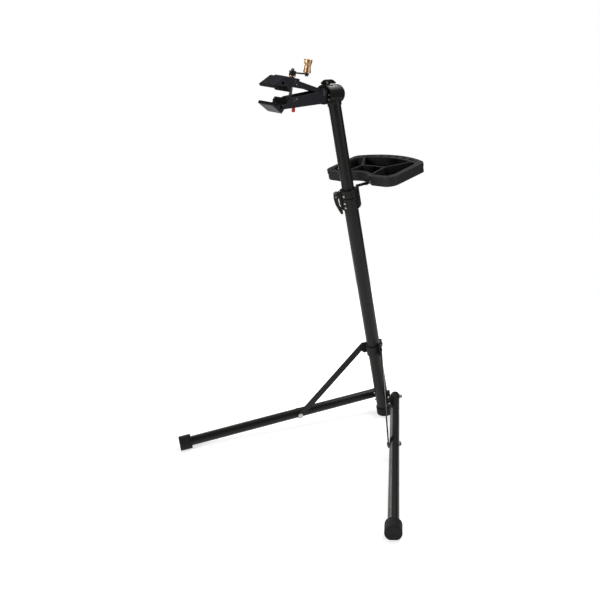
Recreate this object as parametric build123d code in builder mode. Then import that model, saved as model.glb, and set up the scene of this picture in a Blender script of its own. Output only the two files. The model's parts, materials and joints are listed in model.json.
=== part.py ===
"""Folding bicycle repair stand: a leaning two-tube mast on two folding legs, a tool tray and a screw clamp.

Sizes in millimetres. +Z is up and the origin is where the mast's axis meets the floor. The mast leans
towards -Y, the two legs spread to -Y and to either side, and the clamp arm reaches out along -Y.
"""

import os
from math import atan2, cos, degrees, radians, sin, sqrt

from build123d import *

# ---------------------------------------------------------------- driving dimensions
# mast
mast_lean = 11.0                 # degrees from the vertical, towards -Y
lower_tube_r = 22.25             # 1 3/4 inch tube
upper_tube_r = 19.05             # 1 1/2 inch tube
mast_wall = 1.6
lower_tube_start, lower_tube_end = 10.0, 815.0
upper_tube_start, upper_tube_end = 360.0, 1124.0
foot_cap_r, foot_cap_top = 26.0, 35.0

# legs
leg_splay = 32.5                 # degrees each side of -Y, seen from above
leg_angle = 84.6                 # degrees between an open leg and the mast
leg_pivot_s = 64.0               # up the mast
leg_offset = 46.0                # leg axis to mast axis, along the hinge
leg_length = 708.0               # hinge to the end of the foot
leg_tube_r, leg_wall = 15.9, 1.5
leg_top = 15.0                   # leg past its hinge
foot_r, foot_length = 24.0, 38.6
hinge_bolt_r = 4.0
running_gap = 0.06               # between a hinge bolt and its hole

# braces and sliding collar
brace_pin_a = 295.0              # hinge of leg to hinge of brace, along the leg
collar_pin_s, collar_pin_e = 280.0, 29.0
brace_inner, brace_thick, brace_width = 25.6, 3.0, 22.0
collar_start, collar_end, collar_r = 252.0, 288.0, 26.5
slide_gap = 0.1

# height clamp
clamp_start, clamp_split, clamp_end, clamp_r = 783.0, 820.0, 846.0, 27.0
cam_angle = 218.0                # direction of the cam lever round the mast, from +X
cam_pin = (41.0, 831.0)          # out from the mast axis, up the mast
screw_angle = 274.0

# tool tray
tray_rim_s, tray_depth = 880.0, 30.0
tray_turn = 7.0                  # degrees round the mast, towards +X
tray_wall, tray_floor, rib_width = 3.0, 3.0, 6.0
far_rim_r = 284.0                # radius of the line of slots along the far rim
strap_angle = 58.0               # direction of the tray bracket round the mast

# head and clamp arm, in (t, z): t forward of the mast along -Y, z up from the arm axis
head_s = 1139.0
head_r, head_rear, head_front = 27.0, -30.0, 38.0
arm_roll = 8.0                   # rest roll of the clamp about the arm axis
shaft_r, disc_r, disc_thick = 11.0, 28.0, 6.6
jaw_hinge = (62.7, 7.0)
screw_radius = 126.0             # jaw hinge to either end of the clamp screw
nut_angle, trunnion_angle = -6.0, 16.0
spindle_r = 5.0
crank_length = 60.0
arm_half, arm_wall = 16.3, 3.0
jaw_half_length = 25.0
jaw_half_angle, jaw_leg, jaw_thick = 51.4, 43.5, 6.0
jaw_fill = 22.0                  # thickness of the jaws in the valley of the V

# ---------------------------------------------------------------- frames
lean = radians(mast_lean)
mast_dir = Vector(0, -sin(lean), cos(lean))
mast_back = Vector(0, cos(lean), sin(lean))
mast = Plane(origin=(0, 0, 0), x_dir=(1, 0, 0), z_dir=mast_dir)


def round_mast(angle):
    """Unit vector square to the mast, at an angle from +X towards the back."""
    return Vector(1, 0, 0) * cos(radians(angle)) + mast_back * sin(radians(angle))


def radial_plane(s, angle):
    """Plane whose normal points straight out from the mast axis."""
    return Plane(origin=mast_dir * s, x_dir=mast_dir, z_dir=round_mast(angle))


def side_plane(angle):
    """Plane through the mast axis: x out from the mast, y up the mast."""
    out = round_mast(angle)
    return Plane(origin=(0, 0, 0), x_dir=out, z_dir=out.cross(mast_dir))


class Leg:
    """Directions of one leg: side is +1 for the leg on +X and -1 for the other."""

    def __init__(self, side):
        spread = Vector(side * sin(radians(leg_splay)), -cos(radians(leg_splay)), 0)
        self.out = (spread - mast_dir * spread.dot(mast_dir)).normalized()
        self.hinge = mast_dir.cross(spread).normalized() * side
        self.along = self.out * sin(radians(leg_angle)) + mast_dir * cos(radians(leg_angle))
        self.pivot = mast_dir * leg_pivot_s + self.hinge * leg_offset

    def flat(self, n):
        """Plane square to the hinge, n out from the mast axis: x outwards, y up the mast."""
        return Plane(origin=self.hinge * n, x_dir=self.out, z_dir=self.out.cross(mast_dir))

    def pin(self, e, s, n=0.0):
        """Plane on a hinge line of this leg, normal along the hinge."""
        origin = self.out * e + mast_dir * s + self.hinge * n
        return Plane(origin=origin, x_dir=self.out, z_dir=self.hinge)

    def tube(self, a):
        """Plane square to the open leg, a from its hinge."""
        return Plane(origin=self.pivot + self.along * a, x_dir=self.hinge, z_dir=self.along)

    def brace_pin(self):
        """Outward and upward position of the brace's hinge on the open leg."""
        angle = radians(leg_angle)
        return brace_pin_a * sin(angle), leg_pivot_s + brace_pin_a * cos(angle)


legs = {"right": Leg(1), "left": Leg(-1)}

head = mast_dir * head_s
roll = radians(arm_roll)
arm_x = Vector(cos(roll), 0, -sin(roll))
arm = Plane(origin=head, x_dir=arm_x, z_dir=(0, -1, 0))
arm_side = Plane(origin=head, x_dir=(0, -1, 0), z_dir=arm_x * -1)
head_plane = Plane(origin=head, x_dir=(1, 0, 0), z_dir=(0, -1, 0))
head_side = Plane(origin=head, x_dir=(0, -1, 0), z_dir=(-1, 0, 0))


def arm_point(t, z, x=0.0):
    """Point on the clamp arm as a vector in the stand's frame."""
    return arm_side.from_local_coords(Vector(t, z, -x))


def cross_plane(t, z, x=0.0):
    """Plane square to the arm's hinges: its normal runs along them."""
    return Plane(origin=arm_point(t, z, x), x_dir=(0, -1, 0), z_dir=arm_x)


def from_jaw_hinge(radius, angle):
    """(t, z) at a distance and direction from the jaw hinge."""
    return (
        jaw_hinge[0] + radius * cos(radians(angle)),
        jaw_hinge[1] + radius * sin(radians(angle)),
    )


nut_at = from_jaw_hinge(screw_radius, nut_angle)
trunnion_at = from_jaw_hinge(screw_radius, trunnion_angle)
screw_span = 2 * screw_radius * sin(radians(trunnion_angle - nut_angle) / 2)
spindle_dir = (arm_point(*trunnion_at) - arm_point(*nut_at)).normalized()
spindle = Plane(origin=arm_point(*trunnion_at), x_dir=arm_x, z_dir=spindle_dir)
crank_dir = spindle_dir.cross(arm_x)         # from the spindle towards the mast
handle = Plane(
    origin=arm_point(*trunnion_at) + crank_dir * crank_length, x_dir=arm_x, z_dir=spindle_dir
)


# ---------------------------------------------------------------- shared shapes
def rod(plane, radius, start, end, mode=Mode.ADD):
    """Adds or cuts a round rod between two distances along the plane's normal."""
    with BuildSketch(plane.offset(start)) as section:
        Circle(radius)
    extrude(section.sketch, amount=end - start, mode=mode)


def hexagon(plane, across_flats, start, end):
    """Adds a hexagon head or nut between two distances along the plane's normal."""
    with BuildSketch(plane.offset(start)) as section:
        RegularPolygon(across_flats / 2, 6, major_radius=False)
    extrude(section.sketch, amount=end - start)


def tube(plane, outer, inner, start, end):
    """Adds a round tube between two distances along the plane's normal."""
    with BuildSketch(plane.offset(start)) as section:
        Circle(outer)
        Circle(inner, mode=Mode.SUBTRACT)
    extrude(section.sketch, amount=end - start)


def plate(plane, points, half_width, mode=Mode.ADD, corner=0.0):
    """Adds or cuts a plate with a polygon outline, the same distance to both sides of the plane."""
    with BuildSketch(plane) as section:
        Polygon(*points, align=None)
        if corner:
            fillet(section.vertices(), corner)
    extrude(section.sketch, amount=half_width, both=True, mode=mode)


def save(piece, name):
    """Labels a finished piece and writes its STEP file."""
    piece.part.label = name
    export_step(piece.part, f"parts/{name}.step")


os.makedirs("parts", exist_ok=True)

# ---------------------------------------------------------------- mast base
with BuildPart() as mast_foot_cap:
    rod(mast, foot_cap_r - 0.8, -20, foot_cap_top)
    rod(mast, foot_cap_r, -20, foot_cap_top - 4)
    rod(mast, lower_tube_r, lower_tube_start, foot_cap_top, mode=Mode.SUBTRACT)
    split(bisect_by=Plane.XY, keep=Keep.TOP)
    fillet(mast_foot_cap.faces().sort_by(Axis.Z)[0].edges(), 4)
save(mast_foot_cap, "mast_foot_cap")

with BuildPart() as lower_mast_tube:
    tube(mast, lower_tube_r, lower_tube_r - mast_wall, lower_tube_start, lower_tube_end)
save(lower_mast_tube, "lower_mast_tube")

# The hub is a saddle round the back of the mast with an ear beside each leg.
hub_start, hub_end, hub_r = 43.0, 86.0, 26.5
hub_ear_face = leg_offset - leg_tube_r - 0.4
with BuildPart() as leg_hub:
    tube(mast, hub_r, lower_tube_r, hub_start, hub_end)
    for leg in legs.values():
        ear = [(-15, hub_start), (9, hub_start), (13, hub_start + 8), (13, hub_end - 8), (9, hub_end)]
        plate(leg.flat(hub_ear_face - 4), ear + [(-15, hub_end)], 4)
    rod(mast, lower_tube_r, hub_start - 1, hub_end + 1, mode=Mode.SUBTRACT)
    with BuildSketch(mast.offset(hub_start - 1)) as front:
        with Locations((0, -41)):
            Rectangle(80, 80)
    extrude(front.sketch, amount=hub_end - hub_start + 2, mode=Mode.SUBTRACT)
    for leg in legs.values():
        rod(leg.pin(0, leg_pivot_s), hinge_bolt_r, 24, 40, mode=Mode.SUBTRACT)
save(leg_hub, "leg_hub")

leg_outer = leg_offset + leg_tube_r
with BuildPart() as leg_pivot_bolts:
    for leg in legs.values():
        rod(leg.pin(0, leg_pivot_s), hinge_bolt_r, 24, leg_outer + 10)
save(leg_pivot_bolts, "leg_pivot_bolts")

with BuildPart() as leg_pivot_nuts:
    for leg in legs.values():
        pin = leg.pin(0, leg_pivot_s)
        rod(pin, 9, leg_outer + 0.3, leg_outer + 1.9)
        hexagon(pin, 13, leg_outer + 1.9, leg_outer + 8)
        rod(pin, hinge_bolt_r, leg_outer, leg_outer + 9, mode=Mode.SUBTRACT)
save(leg_pivot_nuts, "leg_pivot_nuts")

with BuildPart() as leg_hub_screws:
    for leg in legs.values():
        for s in (hub_start + 8, hub_end - 8):
            screw = Plane(
                origin=leg.hinge * (hub_ear_face - 3) + mast_dir * s, x_dir=mast_dir, z_dir=leg.out
            )
            rod(screw, 2.6, 13.05, 16.5)
save(leg_hub_screws, "leg_hub_screws")

# ---------------------------------------------------------------- height clamp
ear_half, slit = 9.0, 1.0
with BuildPart() as height_clamp_body:
    tube(mast, clamp_r, lower_tube_r, clamp_start, clamp_split)
    pad = side_plane(strap_angle)
    plate(pad, [(20, clamp_start), (29, clamp_start), (29, clamp_split), (20, clamp_split)], 11)
    boss = side_plane(screw_angle)
    plate(boss, [(20, clamp_start), (28.5, clamp_start), (28.5, clamp_split), (20, clamp_split)], 6)
    ear = [
        (20, clamp_start), (26, clamp_start), (31, 792), (33, 806), (33, clamp_split), (20, clamp_split),
    ]
    plate(side_plane(cam_angle), ear, ear_half)
    rod(mast, lower_tube_r, clamp_start - 1, clamp_split + 1, mode=Mode.SUBTRACT)
save(height_clamp_body, "height_clamp_body")

cam_side = side_plane(cam_angle)
ring_start = clamp_split + 2
with BuildPart() as height_clamp_ring:
    tube(mast, clamp_r, upper_tube_r + 0.3, ring_start, clamp_end)
    ear = [(20, ring_start), (34, ring_start), (46, 827), (46, 836), (40, 840), (20, clamp_end - 2)]
    plate(cam_side, ear, ear_half)
    boss = side_plane(screw_angle)
    plate(boss, [(20, ring_start), (28.5, ring_start), (28.5, clamp_end), (20, clamp_end)], 6)
    rod(mast, upper_tube_r + 0.3, ring_start - 1, clamp_end + 1, mode=Mode.SUBTRACT)
    slot = [(10, ring_start - 1), (50, ring_start - 1), (50, clamp_end + 1), (10, clamp_end + 1)]
    plate(cam_side, slot, slit, mode=Mode.SUBTRACT)
    cam_hole = Plane(origin=cam_side.from_local_coords(Vector(*cam_pin)), z_dir=cam_side.z_dir)
    rod(cam_hole, 3, -20, 20, mode=Mode.SUBTRACT)
save(height_clamp_ring, "height_clamp_ring")

with BuildPart() as height_cam_pin:
    rod(cam_hole, 3, -13.5, 13.5)
    for end in (-1, 1):
        rod(cam_hole, 4.2, end * 12.9, end * 14.4)
save(height_cam_pin, "height_cam_pin")

with BuildPart() as height_clamp_screws:
    for s in (794, 808, 831):
        screw = radial_plane(s, screw_angle)
        rod(screw, 3.2, 28.5, 31)
        with BuildSketch(screw.offset(31)) as socket:
            RegularPolygon(1.6, 6)
        extrude(socket.sketch, amount=-1.5, mode=Mode.SUBTRACT)
save(height_clamp_screws, "height_clamp_screws")

cheek_in, cheek_out = ear_half + 0.4, ear_half + 3.4
with BuildPart() as height_lever:
    outline = [
        (31, 838), (40, 841), (48, 837), (49, 826), (47, 808), (40, 787),
        (33.5, 772), (27, 772), (28.5, 780), (34.5, 792), (36, 812), (34, 828),
    ]
    plate(cam_side, outline, cheek_out, corner=1.2)
    with BuildSketch(cam_side) as inside:
        Polygon((25, 850), (55, 850), (50, 816), (44.5, 808), (25, 812), align=None)
    extrude(inside.sketch, amount=cheek_in, both=True, mode=Mode.SUBTRACT)
    rod(cam_hole, 3 + running_gap, -20, 20, mode=Mode.SUBTRACT)
save(height_lever, "height_lever")

# ---------------------------------------------------------------- tray bracket and tray
strap_width, strap_thick = 20.0, 3.0
strap_r = 29.0
tray_under = tray_rim_s - tray_depth
with BuildPart() as tray_bracket:
    strap = [
        (strap_r, clamp_start + 5), (strap_r + strap_thick, clamp_start + 5),
        (strap_r + strap_thick, tray_under - strap_thick), (112, tray_under - strap_thick),
        (112, tray_under), (strap_r, tray_under),
    ]
    plate(side_plane(strap_angle), strap, strap_width / 2)
save(tray_bracket, "tray_bracket")

with BuildPart() as tray_bracket_screws:
    for s in (793, 805):
        rod(radial_plane(s, strap_angle), 3.5, strap_r + strap_thick, strap_r + strap_thick + 2.5)
    for out in (62, 92):
        under = mast_dir * (tray_under - strap_thick) + round_mast(strap_angle) * out
        rod(Plane(origin=under, x_dir=(1, 0, 0), z_dir=mast_dir), 5.5, -4, 0)
save(tray_bracket_screws, "tray_bracket_screws")

turn = radians(tray_turn)
tray_x = Vector(1, 0, 0) * cos(turn) - mast_back * sin(turn)
tray_plane = Plane(origin=mast_dir * tray_rim_s, x_dir=tray_x, z_dir=mast_dir)


def tray_outline(inset):
    """Fan-shaped outline with a notch for the mast, moved inwards by inset."""
    with BuildSketch(Plane.XY) as outline:
        with BuildLine():
            ThreePointArc((-147, 202), (0, 241), (147, 202))
            Polyline((147, 202), (144, 41), (60, 39))
            ThreePointArc((60, 39), (0, 63), (-60, 39))
            Polyline((-60, 39), (-144, 41), (-147, 202))
        make_face()
        fillet(outline.vertices().group_by(Axis.Y)[-1], 24)
        fillet([v for v in outline.vertices() if abs(v.X) > 130 and v.Y < 60], 34)
        fillet([v for v in outline.vertices() if 55 < abs(v.X) < 70 and v.Y < 60], 24)
        if inset:
            offset(amount=-inset, kind=Kind.INTERSECTION)
    return outline.sketch


def ribbed_pockets():
    """Pocket floor shapes: the inside of the tray divided by its five ribs."""
    ribs = [
        ((-104, 200), (-47, 126)), ((-47, 126), (47, 126)), ((47, 126), (104, 200)),
        ((-47, 126), (-52, 56)), ((47, 126), (52, 56)),
    ]
    with BuildSketch(Plane.XY) as pockets:
        with BuildLine():
            ThreePointArc((-125, 184), (0, 211), (125, 184))
            Polyline((125, 184), (127, 58), (56, 56))
            ThreePointArc((56, 56), (0, 76), (-56, 56))
            Polyline((-56, 56), (-127, 58), (-125, 184))
        make_face()
        fillet([v for v in pockets.vertices() if abs(v.X) > 120 and v.Y > 100], 14)
        fillet([v for v in pockets.vertices() if abs(v.X) > 120 and v.Y < 100], 30)
        for (x0, y0), (x1, y1) in ribs:
            length = sqrt((x1 - x0) ** 2 + (y1 - y0) ** 2)
            slope = degrees(atan2(y1 - y0, x1 - x0))
            with Locations(Location(((x0 + x1) / 2, (y0 + y1) / 2, 0), (0, 0, slope))):
                SlotOverall(length + rib_width, rib_width, mode=Mode.SUBTRACT)
    return pockets.sketch


def rim_hollow():
    """Space under the rim, between the outer wall and the pockets' walls."""
    with BuildSketch(Plane.XY) as hollow:
        add(tray_outline(1.5 + tray_wall))
        with BuildLine():
            ThreePointArc((-128, 187), (0, 214), (128, 187))
            Polyline((128, 187), (130, 55), (58, 53))
            ThreePointArc((58, 53), (0, 72), (-58, 53))
            Polyline((-58, 53), (-130, 55), (-128, 187))
        make_face(mode=Mode.SUBTRACT)
    return hollow.sketch


def tool_slots():
    """Slots through the far rim: four short ones between two long ones."""
    with BuildSketch(Plane.XY) as slots:
        for x, length in ((-94, 46), (-48, 17), (-16, 17), (16, 17), (48, 17), (94, 46)):
            slope = degrees(atan2(-x, far_rim_r))
            with Locations(Location((x, 225 - x * x / (2 * far_rim_r), 0), (0, 0, slope))):
                SlotOverall(length, 8)
        for x in (-1, 1):
            with Locations((119 * x, 59)):
                Circle(4)
    return slots.sketch


with BuildPart() as tool_tray:
    band = 12.0
    extrude(tray_plane.location * tray_outline(0), amount=-band)
    extrude(tray_plane.location * tray_outline(1.5), amount=-tray_depth)
    extrude(tray_plane.location * ribbed_pockets(), amount=-(tray_depth - tray_floor), mode=Mode.SUBTRACT)
    under_rim = tray_plane.offset(-tray_depth).location * rim_hollow()
    extrude(under_rim, amount=tray_depth - tray_floor, mode=Mode.SUBTRACT)
    extrude(tray_plane.location * tool_slots(), amount=-tray_depth, mode=Mode.SUBTRACT)
save(tool_tray, "tool_tray")

# ---------------------------------------------------------------- legs and their braces
brace_e, brace_s = legs["right"].brace_pin()
for name, leg in legs.items():
    with BuildPart() as leg_tube:
        tube(leg.tube(0), leg_tube_r, leg_tube_r - leg_wall, -leg_top + 5, leg_length - 7)
        for a in (0, brace_pin_a):
            hole = Plane(origin=leg.pivot + leg.along * a, x_dir=leg.along, z_dir=leg.hinge)
            rod(hole, hinge_bolt_r + running_gap, -20, 20, mode=Mode.SUBTRACT)
    save(leg_tube, f"{name}_leg_tube")

    with BuildPart() as leg_plug:
        rod(leg.tube(0), leg_tube_r, -leg_top - 1, -leg_top + 5)
        fillet(leg_plug.faces().sort_by(Axis(leg.pivot, leg.along))[0].edges(), 5)
        rod(leg.tube(0), leg_tube_r - leg_wall, -leg_top + 5, -leg_top + 9)
    save(leg_plug, f"{name}_leg_plug")

    with BuildPart() as leg_foot:
        rod(leg.tube(0), foot_r, leg_length - foot_length, leg_length)
        ends = leg_foot.faces().filter_by(GeomType.PLANE)
        fillet(ends.edges(), 2.5)
        rod(leg.tube(0), leg_tube_r, leg_length - foot_length - 1, leg_length - 7, mode=Mode.SUBTRACT)
        split(bisect_by=Plane.XY, keep=Keep.TOP)
    save(leg_foot, f"{name}_foot")

    with BuildPart() as brace_bolt:
        pin = leg.pin(brace_e, brace_s)
        rod(pin, 7.5, brace_inner + brace_thick + 0.2, leg_offset)
        rod(pin, 7.5, leg_outer - 2, leg_outer + 1.2)
        rod(leg.tube(0), leg_tube_r, brace_pin_a - 20, brace_pin_a + 20, mode=Mode.SUBTRACT)
        rod(pin, hinge_bolt_r, brace_inner - 0.3, leg_outer + 7)
        rod(pin, 8, brace_inner - 2.8, brace_inner - 0.3)
        hexagon(pin, 13, leg_outer + 1.2, leg_outer + 5.8)
    save(brace_bolt, f"{name}_brace_bolt")

    middle = ((brace_e + collar_pin_e) / 2, (brace_s + collar_pin_s) / 2)
    run = Vector(collar_pin_e - brace_e, collar_pin_s - brace_s)
    brace_mid = leg.flat(brace_inner + brace_thick / 2)
    bar_plane = Plane(
        origin=brace_mid.from_local_coords(Vector(*middle)),
        x_dir=brace_mid.x_dir * run.X + brace_mid.y_dir * run.Y,
        z_dir=brace_mid.z_dir,
    )
    with BuildPart() as brace:
        with BuildSketch(bar_plane) as bar:
            SlotCenterToCenter(run.length, brace_width)
        extrude(bar.sketch, amount=brace_thick / 2, both=True)
        rod(pin, hinge_bolt_r + running_gap, brace_inner - 1, brace_inner + 5, mode=Mode.SUBTRACT)
    save(brace, f"{name}_brace")

    with BuildPart() as brace_rivet:
        top = leg.pin(collar_pin_e, collar_pin_s)
        rod(top, 7, brace_inner + brace_thick, brace_inner + brace_thick + 2.2)
        fillet(brace_rivet.faces().sort_by(Axis(top.origin, leg.hinge))[-1].edges(), 1.5)
    save(brace_rivet, f"{name}_brace_rivet")

# ---------------------------------------------------------------- sliding collar
with BuildPart() as brace_collar:
    tube(mast, collar_r, lower_tube_r + slide_gap, collar_start, collar_end)
    for leg in legs.values():
        ear = [(-4, 254), (30, 254), (38, 262), (38, 286), (32, 291), (4, 291), (-4, 287)]
        plate(leg.flat(brace_inner - 0.3 - 3), ear, 3)
    rod(mast, lower_tube_r + slide_gap, collar_start - 1, collar_end + 5, mode=Mode.SUBTRACT)
    knob_axis = radial_plane((collar_start + collar_end) / 2, 90)
    rod(knob_axis, 9, 24, 31)
    rod(mast, lower_tube_r + slide_gap, collar_start - 1, collar_end + 5, mode=Mode.SUBTRACT)
    rod(knob_axis, 4 + running_gap, 20, 40, mode=Mode.SUBTRACT)
save(brace_collar, "brace_collar")

with BuildPart() as collar_knob:
    rod(knob_axis, 4, 24, 36)
    rod(knob_axis, 8, 31.4, 42)
    for end in (-1, 1):
        lobe = Plane(origin=knob_axis.from_local_coords(Vector(end * 10, 0, 40)), x_dir=knob_axis.z_dir,
                     z_dir=knob_axis.y_dir)
        with BuildSketch(lobe) as ball:
            Circle(6)
        extrude(ball.sketch, amount=3.5, both=True)
save(collar_knob, "collar_knob")

# ---------------------------------------------------------------- upper mast and head
bush_start, bush_end = upper_tube_start + 2, upper_tube_start + 44
with BuildPart() as guide_bush:
    tube(mast, lower_tube_r - mast_wall - slide_gap, upper_tube_r + slide_gap, bush_start, bush_end)
save(guide_bush, "guide_bush")

with BuildPart() as bush_rings:
    for start in (bush_start - 2, bush_end + 0.3):
        tube(mast, upper_tube_r + 1.1, upper_tube_r, start, start + 1.7)
save(bush_rings, "bush_rings")

with BuildPart() as upper_mast_tube:
    tube(mast, upper_tube_r, upper_tube_r - mast_wall, upper_tube_start, upper_tube_end)
save(upper_mast_tube, "upper_mast_tube")

bearing_r = 14.0
lever_pin = (36.0, 32.0)
with BuildPart() as head_housing:
    rod(head_plane, head_r, head_rear, head_front)
    fillet(head_housing.faces().sort_by(Axis.Y)[-1].edges(), 9)
    chamfer(head_housing.faces().sort_by(Axis.Y)[0].edges(), 0.8)
    rod(mast, upper_tube_r + 2.6, head_s - 33, head_s - 16)
    lug = [(18, 20), (18, 31), (29, 34.8), (38, 34.4), (40, 31.5), (38.6, 28.8), (37.5, 28), (37.5, 20)]
    plate(head_side, lug, 6)
    rod(head_plane, bearing_r, -18, head_front + 1, mode=Mode.SUBTRACT)
    rod(mast, upper_tube_r, head_s - 40, upper_tube_end, mode=Mode.SUBTRACT)
    lever_hole = Plane(
        origin=head_side.from_local_coords(Vector(*lever_pin)), x_dir=(0, -1, 0), z_dir=(1, 0, 0)
    )
    rod(lever_hole, 2.5, -10, 10, mode=Mode.SUBTRACT)
save(head_housing, "head_housing")

with BuildPart() as head_bearing:
    tube(head_plane, bearing_r, shaft_r + running_gap, -17, head_front - 0.5)
save(head_bearing, "head_bearing")

with BuildPart() as head_lever_pin:
    rod(lever_hole, 2.5, -9.8, 9.8)
    for end in (-1, 1):
        rod(lever_hole, 3.8, end * 9.4, end * 11)
save(head_lever_pin, "head_lever_pin")

with BuildPart() as head_screws:
    for t in (4, 15):
        screw = Plane(origin=head_side.from_local_coords(Vector(t, 0)), x_dir=(0, -1, 0),
                      z_dir=(sin(radians(38)), 0, cos(radians(38))))
        rod(screw, 2.6, head_r - 1, head_r + 1.2)
    rod(head_plane, head_r, head_rear, head_front, mode=Mode.SUBTRACT)
save(head_screws, "head_screws")

with BuildPart() as head_lever:
    with BuildSketch(head_side) as blade:
        with BuildLine():
            ThreePointArc((33, 38.8), (14, 41.3), (-6, 32.4))
            Polyline((-6, 32.4), (-6, 28.7), (33, 28.7), (33, 38.8))
        make_face()
    extrude(blade.sketch, amount=9, both=True)
    cheek = [
        (28, 28.7), (33.5, 28.2), (38, 28.2), (40, 31), (39.5, 34.5), (36, 36.4), (33, 38.4), (28, 38.6),
    ]
    plate(head_side, cheek, 9)
    with BuildSketch(head_side) as inside:
        with BuildLine():
            ThreePointArc((31.5, 36.2), (13, 38.6), (-3, 31.6))
            Polyline((-3, 31.6), (-3, 25), (45, 25), (45, 36.2), (31.5, 36.2))
        make_face()
    extrude(inside.sketch, amount=6.3, both=True, mode=Mode.SUBTRACT)
    rod(lever_hole, 2.5 + running_gap, -20, 20, mode=Mode.SUBTRACT)
save(head_lever, "head_lever")

# ---------------------------------------------------------------- clamp arm
disc_start = head_front + 0.4
disc_end = disc_start + disc_thick
with BuildPart() as arm_shaft:
    rod(arm, shaft_r, -15, disc_end)
save(arm_shaft, "arm_shaft")

with BuildPart() as index_disc:
    tube(arm, disc_r, shaft_r, disc_start, disc_end)
    with BuildSketch(arm.offset(disc_start)) as notch:
        with PolarLocations(disc_r + 0.6, 36):
            Circle(1.3)
    extrude(notch.sketch, amount=disc_thick / 2, mode=Mode.SUBTRACT)
save(index_disc, "index_disc")

with BuildPart() as disc_screws:
    for side in (-1, 1):
        for y in (2, -11):
            screw = Plane(origin=arm.from_local_coords(Vector(side * 22, y, disc_end)), z_dir=arm.z_dir)
            rod(screw, 2.8, 0, 1.4)
save(disc_screws, "disc_screws")

lower_v, lower_opening = (247.0, -37.0), 83.4        # outer edge, and the way the groove faces
upper_apex, upper_opening = (242.5, 58.5), -78.0


def back_face(apex, direction, along):
    """(t, z) on the outer face of a jaw's leg nearer the mast."""
    return (apex[0] + along * cos(radians(direction)), apex[1] + along * sin(radians(direction)))


web_end = disc_end + 4
with BuildPart() as lower_arm:
    seat = [back_face(lower_v, lower_opening + jaw_half_angle, along) for along in (12.5, 41)]
    side = [(disc_end, -22), *seat, (207, -1), (195, 2), (120, 8.5), (76, 12)]
    plate(arm_side, side + [(disc_end, 16)], arm_half)
    with BuildSketch(arm_side) as boss:
        with Locations(jaw_hinge):
            Circle(13)
    extrude(boss.sketch, amount=arm_half, both=True)
    channel = [(web_end, -18.8), (211, -22.4), (211, 30), (web_end, 30)]
    plate(arm_side, channel, arm_half - arm_wall, mode=Mode.SUBTRACT)
    rod(cross_plane(*jaw_hinge), hinge_bolt_r, -30, 30, mode=Mode.SUBTRACT)
    rod(cross_plane(*nut_at), 5.5 + running_gap, -30, 30, mode=Mode.SUBTRACT)
    floor_slot = Plane(origin=arm_point(nut_at[0] + 1.5, -30), x_dir=(0, -1, 0), z_dir=arm.y_dir)
    with BuildSketch(floor_slot) as opening:
        SlotOverall(17, 13)
    extrude(opening.sketch, amount=12, mode=Mode.SUBTRACT)
    release_axis = Plane(origin=arm_point(172, 0), x_dir=(0, -1, 0), z_dir=arm.y_dir)
    rod(release_axis, 3 + running_gap, -30, -10, mode=Mode.SUBTRACT)
save(lower_arm, "lower_arm")

with BuildPart() as jaw_hinge_pin:
    hinge_axis = cross_plane(*jaw_hinge)
    rod(hinge_axis, hinge_bolt_r, -arm_half - 5, arm_half + 1)
    rod(hinge_axis, 8, arm_half, arm_half + 2.6)
    hexagon(hinge_axis, 8, arm_half + 2.6, arm_half + 4.4)
save(jaw_hinge_pin, "jaw_hinge_pin")

with BuildPart() as jaw_hinge_nut:
    hexagon(hinge_axis, 13, -arm_half - 5, -arm_half)
    rod(hinge_axis, hinge_bolt_r, -40, 0, mode=Mode.SUBTRACT)
save(jaw_hinge_nut, "jaw_hinge_nut")


def jaw_plane(apex, opening):
    """Plane at a jaw's outer edge with x towards the groove's opening and its normal along the groove."""
    x_dir = arm_side.x_dir * cos(radians(opening)) + arm_side.y_dir * sin(radians(opening))
    return Plane(origin=arm_point(*apex), x_dir=x_dir, z_dir=arm_side.z_dir)


half = radians(jaw_half_angle)


def on_leg(along, inward, side):
    """Point of the jaw profile: along one leg of the V and inward from its outer face."""
    return (along * cos(half) + inward * sin(half), side * (along * sin(half) - inward * cos(half)))


def jaw_body(plane):
    """V-shaped extrusion with a filled valley, which has a T-slot."""
    fill_y = (jaw_fill - jaw_thick / sin(half)) * sin(half) / cos(half)
    with BuildPart() as body:
        profile = [
            (0, 0), on_leg(jaw_leg, 0, 1), on_leg(jaw_leg, jaw_thick, 1), (jaw_fill, fill_y),
            (jaw_fill, -fill_y), on_leg(jaw_leg, jaw_thick, -1), on_leg(jaw_leg, 0, -1),
        ]
        plate(plane, profile, jaw_half_length)
        top, low = jaw_fill - 4.5, jaw_fill - 9
        plate(plane, [(jaw_fill + 1, -3), (jaw_fill + 1, 3), (top - 1, 3), (top - 1, -3)], 30, Mode.SUBTRACT)
        plate(plane, [(top, -5.5), (top, 5.5), (low, 5.5), (low, -5.5)], 30, Mode.SUBTRACT)
    return body


def jaw_pads(plane):
    """Two ribbed rubber strips, one over the end of each leg of the V."""
    with BuildPart() as pads:
        for side in (1, -1):
            strip = [
                on_leg(31, jaw_thick, side), on_leg(jaw_leg, jaw_thick, side), on_leg(jaw_leg, 0, side),
                on_leg(jaw_leg + 3, 0.5, side), on_leg(jaw_leg + 3.5, 3, side),
                on_leg(jaw_leg + 2.5, 8, side), on_leg(jaw_leg, 9.5, side), on_leg(33, 9.5, side),
            ]
            plate(plane, strip, jaw_half_length + 0.5)
            for along in (34.5, 38.5, 42.5):
                rib = [on_leg(along, 8.3, side), on_leg(along + 1.6, 8.3, side),
                       on_leg(along + 1.6, 12, side), on_leg(along, 12, side)]
                plate(plane, rib, jaw_half_length + 2, Mode.SUBTRACT)
    return pads


lower_jaw_plane = jaw_plane(lower_v, lower_opening)
upper_jaw_plane = jaw_plane(upper_apex, upper_opening)
save(jaw_body(lower_jaw_plane), "lower_jaw")
save(jaw_pads(lower_jaw_plane), "lower_jaw_pads")

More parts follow.
